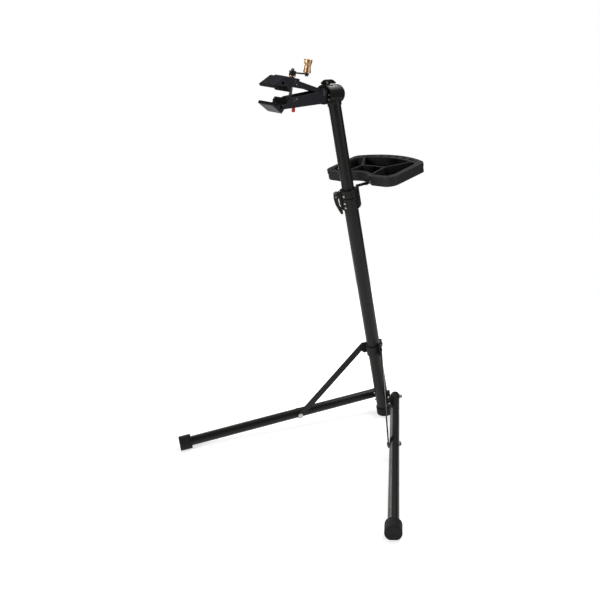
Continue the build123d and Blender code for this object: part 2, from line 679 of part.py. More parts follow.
with BuildPart() as lower_jaw_bolts:
    for end in (-1, 1):
        rod(cross_plane(177.5, -3.6), 2.2, end * arm_half, end * (arm_half + 1.2))
save(lower_jaw_bolts, "lower_arm_bolts")

# ---------------------------------------------------------------- upper arm
upper_half = 13.0
with BuildPart() as upper_arm:
    seat = [back_face(upper_apex, upper_opening - jaw_half_angle, along) for along in (35, 1.5)]
    side = [(76, 6), (120, 17.3), (195, 28.4), *seat, (236, 60), (166, 49), (166, 43), (73, 19), (60, 17)]
    plate(arm_side, side, upper_half)
    with BuildSketch(arm_side) as boss:
        with Locations(jaw_hinge):
            Circle(10.5)
    extrude(boss.sketch, amount=upper_half, both=True)
    channel = [(45, -10), (45, 13), (73, 16), (166, 40), (170, 47.6), (208, 53.7), (208, 0)]
    plate(arm_side, channel, upper_half - arm_wall, mode=Mode.SUBTRACT)
    rod(cross_plane(*jaw_hinge), hinge_bolt_r + running_gap, -30, 30, mode=Mode.SUBTRACT)
    rod(cross_plane(*trunnion_at), hinge_bolt_r + running_gap, -30, 30, mode=Mode.SUBTRACT)
    with BuildSketch(spindle.offset(2)) as opening:
        Rectangle(16, 18)
    extrude(opening.sketch, amount=20, mode=Mode.SUBTRACT)
save(upper_arm, "upper_arm")

save(jaw_body(upper_jaw_plane), "upper_jaw")
save(jaw_pads(upper_jaw_plane), "upper_jaw_pads")

with BuildPart() as upper_arm_bolts:
    for end in (-1, 1):
        rod(cross_plane(177.5, 35), 2.6, end * upper_half, end * (upper_half + 1.4))
save(upper_arm_bolts, "upper_arm_bolts")

# ---------------------------------------------------------------- clamp screw
neck_top, washer_top = 12.0, 16.0
with BuildPart() as screw_trunnion:
    rod(cross_plane(*trunnion_at), 7.5, -9.7, 9.7)
    rod(cross_plane(*trunnion_at), hinge_bolt_r, -upper_half, upper_half)
    rod(spindle, 7, 0, neck_top)
    rod(spindle, spindle_r + running_gap, -20, 20, mode=Mode.SUBTRACT)
save(screw_trunnion, "screw_trunnion")

with BuildPart() as barrel_nut:
    rod(cross_plane(*nut_at), 8, -13, 13)
    rod(cross_plane(*nut_at), 5.5, -arm_half - 0.4, arm_half + 0.4)
    rod(spindle, spindle_r + running_gap, -screw_span - 20, -screw_span + 20, mode=Mode.SUBTRACT)
save(barrel_nut, "barrel_nut")

crank_low, crank_high, hub_top = 21.0, 25.0, 28.0
with BuildPart() as clamp_screw:
    rod(spindle, spindle_r, -screw_span - 19, hub_top)
save(clamp_screw, "clamp_screw")

with BuildPart() as thrust_washer:
    tube(spindle, 9, spindle_r, neck_top + 0.3, washer_top)
save(thrust_washer, "thrust_washer")

with BuildPart() as crank_hub:
    tube(spindle, 9.7, spindle_r, washer_top, crank_low)
    tube(spindle, 9.7, spindle_r, crank_high, hub_top)
save(crank_hub, "crank_hub")

with BuildPart() as crank_nut:
    hexagon(spindle, 9, hub_top, hub_top + 4.5)
    rod(spindle, 3, hub_top + 4.5, hub_top + 6.5)
save(crank_nut, "crank_nut")

with BuildPart() as crank_arm:
    middle = Plane(
        origin=spindle.origin + crank_dir * (crank_length / 2), x_dir=crank_dir, z_dir=spindle_dir
    )
    with BuildSketch(middle.offset(crank_low)) as bar:
        SlotCenterToCenter(crank_length, 13)
        with Locations((-crank_length / 2, 0)):
            Circle(9.2)
    extrude(bar.sketch, amount=crank_high - crank_low)
    rod(spindle, spindle_r, 0, 40, mode=Mode.SUBTRACT)
    rod(handle, 3, 0, 40, mode=Mode.SUBTRACT)
save(crank_arm, "crank_arm")

with BuildPart() as handle_bolt:
    rod(handle, 3, crank_low, 58)
    hexagon(handle, 9, crank_low - 4.5, crank_low)
save(handle_bolt, "handle_bolt")

spool_low, spool_high = crank_high + 0.6, crank_high + 37.5
with BuildPart() as spool_handle:
    spool_side = Plane(origin=handle.origin, x_dir=crank_dir, z_dir=crank_dir.cross(spindle_dir))
    with BuildSketch(spool_side) as half_section:
        with BuildLine():
            Polyline((0, spool_low), (9.6, spool_low), (10.8, spool_low + 1.2), (10.8, spool_low + 4))
            Spline(
                (10.8, spool_low + 4), (9.0, spool_low + 17), (11.6, spool_high - 6),
                tangents=((-0.2, 1), (0.35, 1)),
            )
            Polyline((11.6, spool_high - 6), (12, spool_high - 1.5), (10.8, spool_high), (0, spool_high))
            Line((0, spool_high), (0, spool_low))
        make_face()
    revolve(half_section.sketch, axis=Axis(handle.origin, spindle_dir))
    rod(handle, 3 + running_gap, spool_low - 1, 58.4, mode=Mode.SUBTRACT)
save(spool_handle, "spool_handle")

with BuildPart() as release_button:
    rod(release_axis, 3, -30, -17)
    rod(release_axis, 5, -41, -29.5)
    fillet(release_button.faces().sort_by(Axis.Z)[0].edges(), 2)
save(release_button, "release_button")
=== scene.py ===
"""Looks for a folding bicycle repair stand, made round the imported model: tubes, castings, clamp and tray.

Everything is in metres in the model's own frame, and places and directions come from its nodes and joints.
"""

import json
from math import cos, pi, radians, sin

import bmesh
import bpy
from mathutils import Matrix, Vector


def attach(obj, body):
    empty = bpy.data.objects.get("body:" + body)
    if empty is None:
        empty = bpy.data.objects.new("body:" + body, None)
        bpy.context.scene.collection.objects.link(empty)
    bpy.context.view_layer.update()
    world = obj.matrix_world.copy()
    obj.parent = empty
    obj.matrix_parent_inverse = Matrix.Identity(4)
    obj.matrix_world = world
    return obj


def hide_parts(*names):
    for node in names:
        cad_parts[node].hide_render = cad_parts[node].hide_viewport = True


bl_info = {
    "name": "Bicycle repair stand",
    "version": (1, 0, 0),
    "blender": (4, 5, 0),
    "location": "3D View > Sidebar > Stand",
    "description": "Builds the looks of a folding bicycle repair stand",
    "category": "Object",
}

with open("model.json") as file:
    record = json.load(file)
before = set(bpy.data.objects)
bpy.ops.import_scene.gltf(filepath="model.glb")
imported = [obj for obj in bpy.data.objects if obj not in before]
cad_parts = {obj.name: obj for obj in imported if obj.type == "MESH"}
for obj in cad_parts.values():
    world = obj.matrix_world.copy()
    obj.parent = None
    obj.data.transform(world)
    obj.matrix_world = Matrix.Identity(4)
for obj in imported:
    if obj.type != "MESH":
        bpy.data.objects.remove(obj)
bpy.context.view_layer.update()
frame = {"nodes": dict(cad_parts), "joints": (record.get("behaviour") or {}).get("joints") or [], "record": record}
joints = {joint["name"]: joint for joint in frame["joints"]}
MM = 0.001


# ---------------------------------------------------------------- places and directions
def joint_axis(name):
    """Unit vector of a joint's axis."""
    return Vector(joints[name]["axis"]).normalized()


def joint_place(name):
    """Point on a hinge's axis."""
    return Vector(joints[name]["pos_m"])


def placed(origin, z_axis, x_axis):
    """Matrix of a local frame, from its origin, its z axis and roughly its x axis."""
    z = z_axis.normalized()
    x = (x_axis - z * x_axis.dot(z)).normalized()
    y = z.cross(x)
    turned_frame = Matrix((x, y, z)).transposed().to_4x4()
    return Matrix.Translation(origin) @ turned_frame


MAST_UP = joint_axis("height_slide")
MAST = placed(Vector((0, 0, 0)), MAST_UP, Vector((1, 0, 0)))
ARM_SIDE = -joint_axis("jaw_open")
ARM_OUT = joint_axis("clamp_turn")
HEAD = placed(joint_place("clamp_turn"), ARM_OUT, ARM_SIDE)
SPINDLE = placed(joint_place("crank_spin"), joint_axis("crank_spin"), ARM_SIDE)
HANDLE = placed(joint_place("handle_spin"), joint_axis("handle_spin"), ARM_SIDE)
LEG_ANGLE = radians(84.6)
LEG_JOINTS = {"left": "leg_fold", "right": "right_leg_fold"}
HEAD_SCREW_TILT = radians(38)

# Tubes: outer radius, inner radius, start and end along the axis, in millimetres.
LOWER_MAST_TUBE = (22.25, 20.65, 10, 815)
UPPER_MAST_TUBE = (19.05, 17.45, 360, 1124)
LEG_TUBE = (15.9, 14.4, -10, 701)
MAST_END_ROUNDING = 0.8

# Fasteners on the legs' hinges and the thread of the clamp screw, in metres.
HINGE_WASHER_SEAT, HINGE_WASHER_R, HINGE_WASHER_THICK = 16.2 * MM, 9 * MM, 1.6 * MM
HINGE_NUT_R, HINGE_NUT_THICK = 7.5 * MM, 6.1 * MM
THREAD_R, THREAD_LENGTH, THREAD_START = 5 * MM, 66 * MM, -66.5 * MM


def leg_frame(side):
    """Frame of an open leg: origin at its hinge, z along the leg."""
    hinge = joint_axis(LEG_JOINTS[side])
    along = Matrix.Rotation(-LEG_ANGLE, 3, hinge) @ MAST_UP
    return placed(joint_place(LEG_JOINTS[side]), along, hinge)


def outward_hinge(side):
    """Direction of a leg's hinge, pointing at the side that carries the nut."""
    return joint_axis(LEG_JOINTS[side]) * (1 if side == "left" else -1)


def from_mast(middle):
    """Direction from the mast's axis to a point."""
    return middle - MAST_UP * middle.dot(MAST_UP)


# ---------------------------------------------------------------- colours and sizes
def linear(code):
    """Linear colour of an sRGB hex value."""
    parts = [int(code[start:start + 2], 16) / 255 for start in (1, 3, 5)]
    return tuple(part / 12.92 if part <= 0.04045 else ((part + 0.055) / 1.055) ** 2.4 for part in parts)


def colour_setting(name, description, code):
    """Colour property with an sRGB hex default."""
    return bpy.props.FloatVectorProperty(
        name=name, description=description, default=linear(code), subtype="COLOR", min=0, max=1
    )


def length_setting(name, description, default):
    """Length property in metres."""
    return bpy.props.FloatProperty(name=name, description=description, default=default, unit="LENGTH", min=0)


class StandColours(bpy.types.PropertyGroup):
    """Colours of the stand's finishes."""

    coat: colour_setting("Powder coat", "Tubes, braces and hub", "#0f0f0d")
    casting: colour_setting("Castings", "Head, height clamp and disc", "#11120e")
    arms: colour_setting("Arms", "Coated aluminium arms and jaws", "#25252c")
    plastic: colour_setting("Plastic", "Collar, knob and tube plugs", "#0f100f")
    tray: colour_setting("Tray", "Moulded tool tray", "#161716")
    rubber: colour_setting("Rubber", "Feet and jaw pads", "#0c0d0d")
    zinc: colour_setting("Zinc", "Screws and nuts", "#b9b9b4")
    dark_steel: colour_setting("Dark steel", "Clamp screw and hinge bolts", "#64646a")
    brass: colour_setting("Brass", "Spool handle and washer", "#c9a27c")
    button: colour_setting("Button", "Release button", "#c4101c")
    floor: colour_setting("Floor", "Floor under the stand", "#f4f4f4")


class StandSizes(bpy.types.PropertyGroup):
    """Sizes of the stand's fine detail."""

    thread_lead: length_setting("Thread lead", "Distance between the clamp screw's threads", 2.5 * MM)
    thread_depth: length_setting("Thread depth", "Height of the clamp screw's threads", 0.8 * MM)
    edge: length_setting("Edge rounding", "Rounding of machined and cast edges", 0.6 * MM)
    coat_grain: length_setting("Coat grain", "Size of the powder coat's orange peel", 1.6 * MM)
    key_light: bpy.props.FloatProperty(
        name="Key light", description="Power of the main softbox", default=60.0, min=0, unit="POWER"
    )


# ---------------------------------------------------------------- nodes and materials
def add(tree, kind, inputs=None, **settings):
    """Adds a node, sets its settings, and links or sets its inputs."""
    made = tree.nodes.new(kind)
    for key, value in settings.items():
        setattr(made, key, value)
    for key, value in (inputs or {}).items():
        if isinstance(value, bpy.types.NodeSocket):
            tree.links.new(value, made.inputs[key])
        else:
            made.inputs[key].default_value = value
    return made


def begin_material(name, **surface):
    """New material: its tree, its shader with the plain values set, and its object coordinates."""
    material = bpy.data.materials.new(name)
    material.use_nodes = True
    tree = material.node_tree
    tree.nodes.clear()
    shader = add(tree, "ShaderNodeBsdfPrincipled", {key.replace("_", " "): v for key, v in surface.items()})
    add(tree, "ShaderNodeOutputMaterial", {"Surface": shader.outputs[0]})
    place = add(tree, "ShaderNodeTexCoord").outputs["Object"]
    return material, tree, shader, place


def tint(tree, shader, pattern, colour, shift):
    """Colours the surface, a little darker and lighter with a pattern."""
    low = [part * (1 - shift) for part in colour] + [1]
    high = [part * (1 + shift) for part in colour] + [1]
    mixed = add(tree, "ShaderNodeMix", {0: pattern, 6: low, 7: high}, data_type="RGBA")
    tree.links.new(mixed.outputs[2], shader.inputs["Base Color"])


def vary_roughness(tree, shader, pattern, low, high):
    """Lets a pattern move the roughness between two values."""
    spread = add(tree, "ShaderNodeMapRange", {"Value": pattern, "To Min": low, "To Max": high})
    tree.links.new(spread.outputs[0], shader.inputs["Roughness"])


def raise_grain(tree, shader, pattern, depth, edge):
    """Lifts a pattern off the surface as bump, over edges that are rounded for the light."""
    rounded = add(tree, "ShaderNodeBevel", {"Radius": edge}, samples=4)
    bump = add(
        tree, "ShaderNodeBump",
        {"Height": pattern, "Distance": depth, "Strength": 1.0, "Normal": rounded.outputs[0]},
    )
    tree.links.new(bump.outputs[0], shader.inputs["Normal"])


def noise(tree, place, size, detail=2.0):
    """Noise whose features are about the given size."""
    made = add(tree, "ShaderNodeTexNoise", {"Vector": place, "Scale": 1 / size, "Detail": detail})
    return made.outputs["Fac"]


def powder_coat():
    """Powder coat on steel tube: deep black with a soft sheen and the faint ripple of melted powder."""
    colours, sizes = bpy.context.scene.stand_colours, bpy.context.scene.stand_sizes
    material, tree, shader, place = begin_material("satin_powder_coat", Specular_IOR_Level=0.24)
    tint(tree, shader, noise(tree, place, 60 * MM), colours.coat, 0.18)
    vary_roughness(tree, shader, noise(tree, place, 25 * MM), 0.36, 0.46)
    raise_grain(tree, shader, noise(tree, place, sizes.coat_grain), 0.05 * MM, 0.5 * MM)
    return material


def cast_alloy():
    """Die-cast alloy under black enamel: a little glossier than the tubes, over the grain of the casting."""
    colours = bpy.context.scene.stand_colours
    material, tree, shader, place = begin_material("enamelled_casting", Specular_IOR_Level=0.24)
    tint(tree, shader, noise(tree, place, 20 * MM), colours.casting, 0.2)
    vary_roughness(tree, shader, noise(tree, place, 8 * MM), 0.30, 0.42)
    raise_grain(tree, shader, noise(tree, place, 1.1 * MM, 4.0), 0.08 * MM, 0.9 * MM)
    return material


def coated_aluminium():
    """Anodised aluminium extrusion: charcoal with fine draw lines that run along the jaws."""
    colours = bpy.context.scene.stand_colours
    material, tree, shader, place = begin_material("anodised_aluminium", Metallic=0.2, Specular_IOR_Level=0.3)
    squared = add(tree, "ShaderNodeMapping", {"Vector": place, "Rotation": (0, radians(-8), 0)}).outputs[0]
    drawn = add(tree, "ShaderNodeMapping", {"Vector": squared, "Scale": (0.04, 1, 1)}).outputs[0]
    lines = noise(tree, drawn, 0.7 * MM, 3.0)
    tint(tree, shader, noise(tree, place, 15 * MM), colours.arms, 0.12)
    vary_roughness(tree, shader, lines, 0.34, 0.46)
    raise_grain(tree, shader, lines, 0.04 * MM, 0.6 * MM)
    return material


def moulded_nylon():
    """Glass-filled nylon, spark-eroded mould: matte black with a fine even grain."""
    colours = bpy.context.scene.stand_colours
    material, tree, shader, place = begin_material("moulded_nylon", Specular_IOR_Level=0.24)
    tint(tree, shader, noise(tree, place, 12 * MM), colours.plastic, 0.15)
    vary_roughness(tree, shader, noise(tree, place, 3 * MM), 0.48, 0.6)
    raise_grain(tree, shader, noise(tree, place, 0.7 * MM, 3.0), 0.06 * MM, 0.7 * MM)
    return material


def tray_polypropylene():
    """Polypropylene tray: dark grey, low sheen, with a pebbled mould texture, a little coarse so it shows."""
    colours = bpy.context.scene.stand_colours
    material, tree, shader, place = begin_material("textured_polypropylene", Specular_IOR_Level=0.26)
    cells = add(tree, "ShaderNodeTexVoronoi", {"Vector": place, "Scale": 1 / (1.8 * MM)})
    tint(tree, shader, noise(tree, place, 45 * MM), colours.tray, 0.14)
    vary_roughness(tree, shader, noise(tree, place, 5 * MM), 0.46, 0.58)
    raise_grain(tree, shader, cells.outputs["Distance"], 0.08 * MM, 1.0 * MM)
    return material


def moulded_rubber():
    """Black rubber: very matte, with dust in its grain and faint scuffs."""
    colours = bpy.context.scene.stand_colours
    material, tree, shader, place = begin_material("moulded_rubber", Specular_IOR_Level=0.22)
    tint(tree, shader, noise(tree, place, 9 * MM, 5.0), colours.rubber, 0.25)
    vary_roughness(tree, shader, noise(tree, place, 4 * MM), 0.6, 0.78)
    raise_grain(tree, shader, noise(tree, place, 0.9 * MM, 4.0), 0.1 * MM, 0.8 * MM)
    return material


def zinc_plate():
    """Bright zinc plate on steel screws: pale grey with a fine turned haze."""
    colours = bpy.context.scene.stand_colours
    material, tree, shader, place = begin_material("zinc_plated_steel", Metallic=1.0)
    tint(tree, shader, noise(tree, place, 3 * MM), colours.zinc, 0.12)
    vary_roughness(tree, shader, noise(tree, place, 1.2 * MM), 0.24, 0.38)
    raise_grain(tree, shader, noise(tree, place, 0.5 * MM), 0.02 * MM, 0.3 * MM)
    return material


def black_oxide():
    """Black-oxide steel: dark, slightly blue, with an oily sheen."""
    colours = bpy.context.scene.stand_colours
    material, tree, shader, place = begin_material("black_oxide_steel", Metallic=1.0)
    tint(tree, shader, noise(tree, place, 4 * MM), colours.dark_steel, 0.2)
    vary_roughness(tree, shader, noise(tree, place, 2 * MM), 0.3, 0.44)
    raise_grain(tree, shader, noise(tree, place, 0.6 * MM), 0.03 * MM, 0.3 * MM)
    return material


def turned_brass():
    """Lathe-turned brass: warm gold with fine rings from the cutting tool round the handle's axis."""
    colours = bpy.context.scene.stand_colours
    material, tree, shader, place = begin_material("turned_brass", Metallic=1.0)
    squared = add(
        tree, "ShaderNodeMapping", {"Vector": place, "Rotation": HANDLE.inverted().to_euler()}
    ).outputs[0]
    spun = add(tree, "ShaderNodeMapping", {"Vector": squared, "Scale": (0.02, 0.02, 1)}).outputs[0]
    rings = noise(tree, spun, 0.5 * MM, 3.0)
    tint(tree, shader, noise(tree, place, 8 * MM), colours.brass, 0.06)
    vary_roughness(tree, shader, rings, 0.36, 0.46)
    raise_grain(tree, shader, rings, 0.004 * MM, 0.5 * MM)
    return material


def button_plastic():
    """Glossy red ABS button with a faint moulding ripple."""
    colours = bpy.context.scene.stand_colours
    material, tree, shader, place = begin_material("gloss_abs", Specular_IOR_Level=0.5)
    tint(tree, shader, noise(tree, place, 4 * MM), colours.button, 0.1)
    vary_roughness(tree, shader, noise(tree, place, 2 * MM), 0.2, 0.28)
    raise_grain(tree, shader, noise(tree, place, 1.0 * MM), 0.02 * MM, 0.5 * MM)
    return material


FINISHES = {
    "coat": powder_coat, "casting": cast_alloy, "arms": coated_aluminium, "plastic": moulded_nylon,
    "tray": tray_polypropylene, "rubber": moulded_rubber, "zinc": zinc_plate, "dark_steel": black_oxide,
    "brass": turned_brass, "button": button_plastic,
}
made_finishes = {}


def finish(name):
    """The material of a finish, made on first use."""
    if name not in made_finishes:
        made_finishes[name] = FINISHES[name]()
    return made_finishes[name]


SLOT_FINISH = {
    "black_paint": "coat", "dark_casting": "casting", "charcoal_arm": "arms", "black_plastic": "plastic",
    "tray_plastic": "tray", "black_rubber": "rubber", "bolt_steel": "zinc", "washer_brass": "brass",
    "spool_brass": "brass", "red_button": "button",
}
node_slot = {part["node"]: part["material_slot"] for part in frame["record"]["subparts"]}


# ---------------------------------------------------------------- meshes
def new_object(name, mesh):
    """Links a mesh to the scene as an object at the origin."""
    made = bpy.data.objects.new(name, mesh)
    bpy.context.scene.collection.objects.link(made)
    return made


def smooth(mesh, angle=35):
    """Shades a mesh smooth, apart from edges sharper than an angle in degrees."""
    mesh.shade_smooth()
    mesh.set_sharp_from_angle(angle=radians(angle))


def baked(made):
    """Applies an object's modifiers, so that it keeps a plain mesh."""
    graph = bpy.context.evaluated_depsgraph_get()
    solid = bpy.data.meshes.new_from_object(made.evaluated_get(graph))
    made.modifiers.clear()
    made.data = solid
    return made


def settle(made, body, look, *nodes):
    """Gives a finished piece its material and body, and hides the CAD nodes that it stands for."""
    made.data.materials.clear()
    made.data.materials.append(finish(look))
    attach(made, body)
    if nodes:
        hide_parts(*nodes)
    return made


def softened(node, width, body, look, angle=32, segments=2):
    """Copy of a CAD node with its sharp edges rounded."""
    mesh = frame["nodes"][node].data.copy()
    work = bmesh.new()
    work.from_mesh(mesh)
    bmesh.ops.remove_doubles(work, verts=work.verts, dist=0.01 * MM)
    bmesh.ops.dissolve_limit(work, angle_limit=radians(0.5), verts=work.verts, edges=work.edges)
    work.to_mesh(mesh)
    work.free()
    smooth(mesh, angle)
    made = new_object(node + ".look", mesh)
    if width:
        rounding = made.modifiers.new("Rounding", "BEVEL")
        rounding.limit_method = "ANGLE"
        rounding.angle_limit = radians(angle)
        rounding.width = width
        rounding.segments = segments
        rounding.use_clamp_overlap = True
        rounding.harden_normals = True
        baked(made)
    return settle(made, body, look, node)


def turned(name, profile, where, body, look, nodes, steps=96):
    """Solid of revolution from a closed outline of (radius, height) in millimetres."""
    work = bmesh.new()
    rings = []
    for radius, height in profile:
        ring = [
            work.verts.new((radius * cos(2 * pi * k / steps), radius * sin(2 * pi * k / steps), height))
            for k in range(steps)
        ]
        rings.append(ring)
    for low, high in zip(rings, rings[1:] + rings[:1]):
        for k in range(steps):
            work.faces.new((low[k], low[(k + 1) % steps], high[(k + 1) % steps], high[k]))
    bmesh.ops.remove_doubles(work, verts=work.verts, dist=1e-4)
    bmesh.ops.dissolve_degenerate(work, edges=work.edges, dist=1e-5)
    bmesh.ops.recalc_face_normals(work, faces=work.faces)
    mesh = bpy.data.meshes.new(name)
    work.to_mesh(mesh)
    work.free()
    mesh.transform(Matrix.Scale(MM, 4))
    mesh.transform(where)
    smooth(mesh)
    return settle(new_object(name, mesh), body, look, *nodes)


def tube_outline(outer, inner, start, end, round_off=0.5):
    """Closed outline of a tube wall with its outer ends rounded off."""
    return [
        (inner, start), (outer - round_off, start), (outer, start + round_off),
        (outer, end - round_off), (outer - round_off, end), (inner, end),
    ]


def spool_outline(bore=3.3, foot=10.8, waist=9.0, top=11.6, steps=12):
    """Closed outline of the spool handle: a foot, a waist that swells to the top, and a rounded rim."""
    outline = [(bore, 0), (foot - 1.2, 0), (foot, 1.2)]
    for low, high, start, end in ((4, 17, foot, waist), (17, 31, waist, top)):
        for step in range(steps):
            share = (1 - cos(pi * step / steps)) / 2
            outline.append((start + (end - start) * share, low + (high - low) * step / steps))
    return outline + [(top, 31), (top + 0.4, 35.4), (top - 0.1, 36.5), (top - 0.8, 36.9), (bore, 36.9)]


# ---------------------------------------------------------------- trees for repeated shapes
def begin_tree(name, sizes):
    """New geometry tree with named inputs; returns it and its input node."""
    tree = bpy.data.node_groups.new(name, "GeometryNodeTree")
    tree.interface.new_socket("Geometry", in_out="INPUT", socket_type="NodeSocketGeometry")
    for label, kind in sizes.items():
        tree.interface.new_socket(label, in_out="INPUT", socket_type=kind)
    tree.interface.new_socket("Finish", in_out="INPUT", socket_type="NodeSocketMaterial")
    tree.interface.new_socket("Geometry", in_out="OUTPUT", socket_type="NodeSocketGeometry")
    return tree, add(tree, "NodeGroupInput")


def end_tree(tree, start, geometry):
    """Closes a tree: instances made real and the finish set."""
    real = add(tree, "GeometryNodeRealizeInstances", {"Geometry": geometry}).outputs[0]
    painted = add(
        tree, "GeometryNodeSetMaterial", {"Geometry": real, "Material": start.outputs["Finish"]}
    ).outputs[0]
    add(tree, "NodeGroupOutput", {0: painted})
    return tree


def on_seats(tree, start, shape):
    """Puts a unit shape on each seat, along its direction and scaled to its size."""
    along, size = (
        add(tree, "GeometryNodeInputNamedAttribute", {"Name": label}, data_type="FLOAT_VECTOR").outputs[0]
        for label in ("along", "size")
    )
    turn = add(tree, "FunctionNodeAlignRotationToVector", {"Vector": along}, axis="Z").outputs[0]
    return add(
        tree, "GeometryNodeInstanceOnPoints",
        {"Points": start.outputs[0], "Instance": shape, "Rotation": turn, "Scale": size},
    ).outputs[0]


def cylinder(tree, radius, depth, lift, sides=32):
    """Cylinder of the tree, lifted along z."""
    made = add(
        tree, "GeometryNodeMeshCylinder", {"Vertices": sides, "Radius": radius, "Depth": depth}
    ).outputs["Mesh"]
    return add(tree, "GeometryNodeTransform", {"Geometry": made, "Translation": (0, 0, lift)}).outputs[0]


def cone(tree, low, high, depth, lift, sides=32):
    """Cone frustum of the tree, from its low radius to its high one, lifted along z."""
    made = add(
        tree, "GeometryNodeMeshCone",
        {"Vertices": sides, "Radius Top": high, "Radius Bottom": low, "Depth": depth},
    ).outputs["Mesh"]
    return add(tree, "GeometryNodeTransform", {"Geometry": made, "Translation": (0, 0, lift)}).outputs[0]


def socket_screw_tree():
    """Round screw heads with a chamfered rim and a hexagon socket, one on each seat."""
    tree, start = begin_tree("socket_screws", {"Socket": "NodeSocketFloat"})
    body = cylinder(tree, 1.0, 0.75, 0.375)
    rim = cone(tree, 1.0, 0.86, 0.25, 0.0)
    rim = add(tree, "GeometryNodeTransform", {"Geometry": rim, "Translation": (0, 0, 0.75)}).outputs[0]
    whole = add(tree, "GeometryNodeMeshBoolean", {1: body}, operation="UNION")
    tree.links.new(rim, whole.inputs[1])
    hollow = cylinder(tree, start.outputs["Socket"], 1.2, 1.05, 6)
    cut = add(tree, "GeometryNodeMeshBoolean", {0: whole.outputs[0], 1: hollow}, operation="DIFFERENCE")
    return end_tree(tree, start, on_seats(tree, start, cut.outputs[0]))


def hexagon_tree():
    """Hexagon nuts or bolt heads with turned corners and a rounded stud end, one on each seat."""
    tree, start = begin_tree("hexagon_nuts", {"Stud": "NodeSocketFloat", "Stud Height": "NodeSocketFloat"})
    prism = cylinder(tree, 1.0, 1.0, 0.5, 6)
    turned_corners = add(tree, "GeometryNodeMeshBoolean", {1: prism}, operation="INTERSECT")
    tree.links.new(cone(tree, 1.06, 0.84, 1.6, 0.0, 48), turned_corners.inputs[1])
    rod = cylinder(tree, start.outputs["Stud"], start.outputs["Stud Height"], 1.0, 24)
    both = add(tree, "GeometryNodeJoinGeometry", {0: turned_corners.outputs[0]})
    tree.links.new(rod, both.inputs[0])
    return end_tree(tree, start, on_seats(tree, start, both.outputs[0]))


def rivet_tree():
    """Domed rivet heads with a flat rim, one on each seat."""
    tree, start = begin_tree("dome_rivets", {"Dome": "NodeSocketFloat"})
    ball = add(tree, "GeometryNodeMeshUVSphere", {"Segments": 32, "Rings": 16, "Radius": 0.9}).outputs["Mesh"]
    flat = add(tree, "ShaderNodeCombineXYZ", {0: 1.0, 1: 1.0, 2: start.outputs["Dome"]}).outputs[0]
    dome = add(
        tree, "GeometryNodeTransform", {"Geometry": ball, "Translation": (0, 0, 0.3), "Scale": flat}
    ).outputs[0]
    both = add(tree, "GeometryNodeJoinGeometry", {0: cylinder(tree, 1.0, 0.35, 0.175)})
    tree.links.new(dome, both.inputs[0])
    return end_tree(tree, start, on_seats(tree, start, both.outputs[0]))


def thread_tree():
    """Threaded rod: a trapezoid ridge that climbs a core, with the given lead."""
    tree, start = begin_tree("threaded_rod", {
        "Radius": "NodeSocketFloat", "Depth": "NodeSocketFloat", "Lead": "NodeSocketFloat",
        "Length": "NodeSocketFloat",
    })
    core = add(
        tree, "ShaderNodeMath", {0: start.outputs["Radius"], 1: start.outputs["Depth"]}, operation="SUBTRACT"
    ).outputs[0]
    turns = add(
        tree, "ShaderNodeMath", {0: start.outputs["Length"], 1: start.outputs["Lead"]}, operation="DIVIDE"
    ).outputs[0]
    helix = add(tree, "GeometryNodeCurveSpiral", {
        "Resolution": 28, "Rotations": turns, "Start Radius": core, "End Radius": core,
        "Height": start.outputs["Length"],
    }).outputs[0]
    upright = add(tree, "GeometryNodeSetCurveNormal", {"Curve": helix}, mode="Z_UP").outputs[0]
    wide = add(tree, "ShaderNodeMath", {0: start.outputs["Lead"], 1: 0.62}, operation="MULTIPLY").outputs[0]
    narrow = add(tree, "ShaderNodeMath", {0: start.outputs["Lead"], 1: 0.26}, operation="MULTIPLY").outputs[0]
    deep = add(tree, "ShaderNodeMath", {0: start.outputs["Depth"], 1: 2.0}, operation="MULTIPLY").outputs[0]
    ridge = add(
        tree, "GeometryNodeCurvePrimitiveQuadrilateral",
        {"Height": deep, "Bottom Width": wide, "Top Width": narrow, "Offset": 0.0}, mode="TRAPEZOID",
    ).outputs[0]
    thread = add(
        tree, "GeometryNodeCurveToMesh", {"Curve": upright, "Profile Curve": ridge, "Fill Caps": True}
    ).outputs[0]
    rod = add(
        tree, "GeometryNodeMeshCylinder", {"Vertices": 48, "Radius": core, "Depth": start.outputs["Length"]}
    ).outputs["Mesh"]
    half = add(tree, "ShaderNodeMath", {0: start.outputs["Length"], 1: 0.5}, operation="MULTIPLY").outputs[0]
    lift = add(tree, "ShaderNodeCombineXYZ", {2: half}).outputs[0]
    rod = add(tree, "GeometryNodeTransform", {"Geometry": rod, "Translation": lift}).outputs[0]
    both = add(tree, "GeometryNodeJoinGeometry", {0: rod})
    tree.links.new(thread, both.inputs[0])
    return end_tree(tree, start, both.outputs[0])


TREES = {
    "socket_screws": socket_screw_tree, "hexagon_nuts": hexagon_tree, "dome_rivets": rivet_tree,
    "threaded_rod": thread_tree,
}
made_trees = {}


def grown(name, tree_name, values, body, look, nodes=(), seats=(), where=None):
    """Runs a geometry tree and keeps its result as a plain mesh."""
    if tree_name not in made_trees:
        made_trees[tree_name] = TREES[tree_name]()
    tree = made_trees[tree_name]
    mesh = bpy.data.meshes.new(name)
    mesh.from_pydata([seat[0] for seat in seats], [], [])
    for label, column in (("along", 1), ("size", 2)):
        attribute = mesh.attributes.new(label, "FLOAT_VECTOR", "POINT")
        attribute.data.foreach_set("vector", [part for seat in seats for part in seat[column]])
    made = new_object(name, mesh)
    modifier = made.modifiers.new("Shape", "NODES")
    modifier.node_group = tree
    for item in tree.interface.items_tree:
        if item.in_out == "INPUT" and item.name in values:
            modifier[item.identifier] = values[item.name]
        if item.name == "Finish":
            modifier[item.identifier] = finish(look)
    baked(made)
    if where is not None:
        made.data.transform(where)
    smooth(made.data)
    return settle(made, body, look, *nodes)


